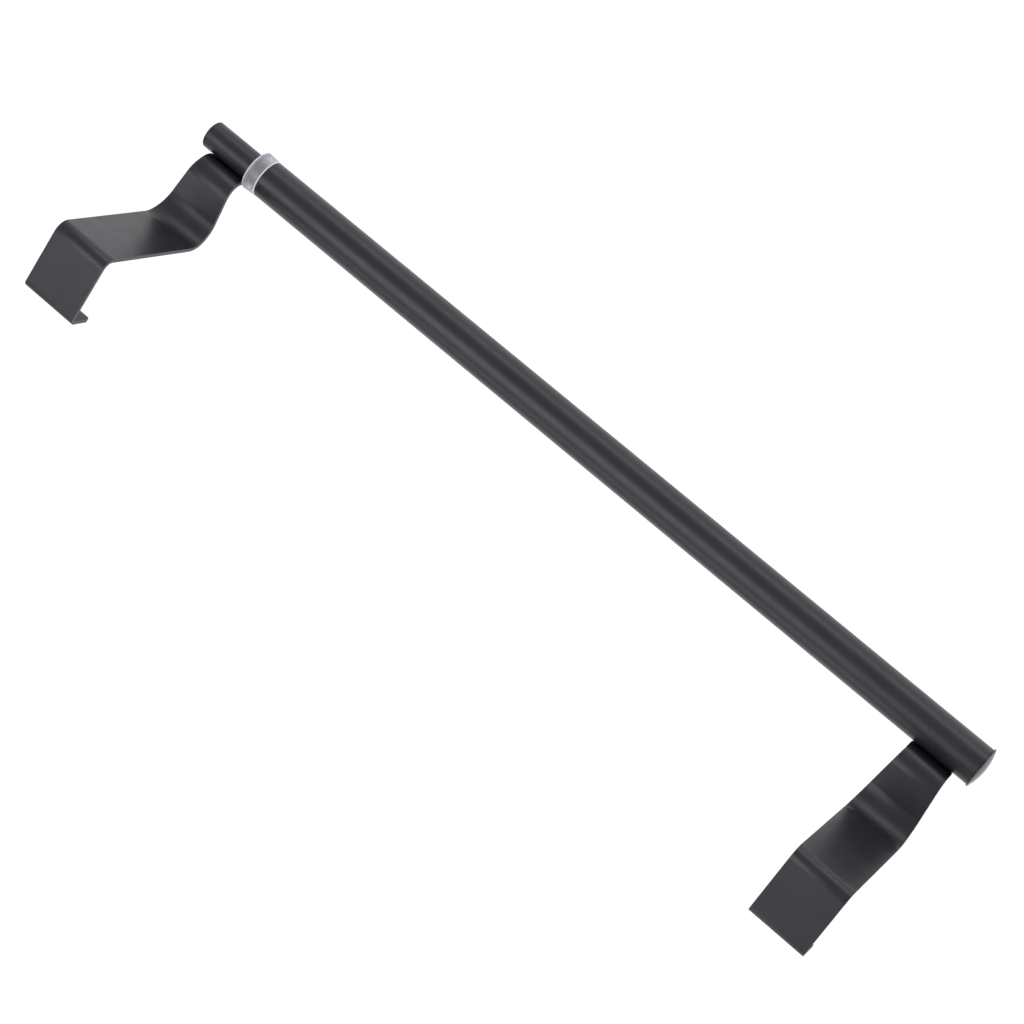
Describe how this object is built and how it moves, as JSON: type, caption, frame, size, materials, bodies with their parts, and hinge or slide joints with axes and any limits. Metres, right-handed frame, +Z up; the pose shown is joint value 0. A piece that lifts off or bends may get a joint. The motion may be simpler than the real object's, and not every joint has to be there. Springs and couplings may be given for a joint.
{
  "type": "door security bar",
  "caption": "Telescopic bar of two round tubes with a bent strip hook at each end that hangs over the top edge of a door.",
  "frame": {"origin": "middle of the outer hook's seat: the underside of the strip, where it lies on the door's top edge", "axes": "+X along the bar from the outer tube's capped end towards the inner tube, +Y from the bar towards the door, +Z up when the bar hangs on the door"},
  "size_m": [0.7245, 0.1423, 0.1665],
  "materials": {
    "black_coat": "satin powder coat",
    "frosted_plastic": "frosted, slightly translucent",
    "guide_plastic": "natural nylon",
    "black_plastic": "fine moulded texture"
  },
  "bodies": {
    "outer": {"outer_tube": "black_coat", "mouth_collar": "frosted_plastic", "outer_end_cap": "black_plastic", "outer_hook": "black_coat", "outer_hook_weld": "black_coat"},
    "guide": {"guide_ring": "guide_plastic"},
    "inner": {"inner_tube": "black_coat", "inner_end_cap": "black_plastic", "inner_hook": "black_coat", "inner_hook_weld": "black_coat"}
  },
  "joints": [
    {"name": "bar_extension", "type": "slide", "parent": "outer", "child": "guide", "axis": [1, 0, 0], "range_m": [-0.001, 0.497]},
    {"name": "inner_tube_turn", "type": "hinge", "parent": "guide", "child": "inner", "pos_m": [0.3, -0.0978, -0.1475], "axis": [1, 0, 0], "continuous": true}
  ]
}
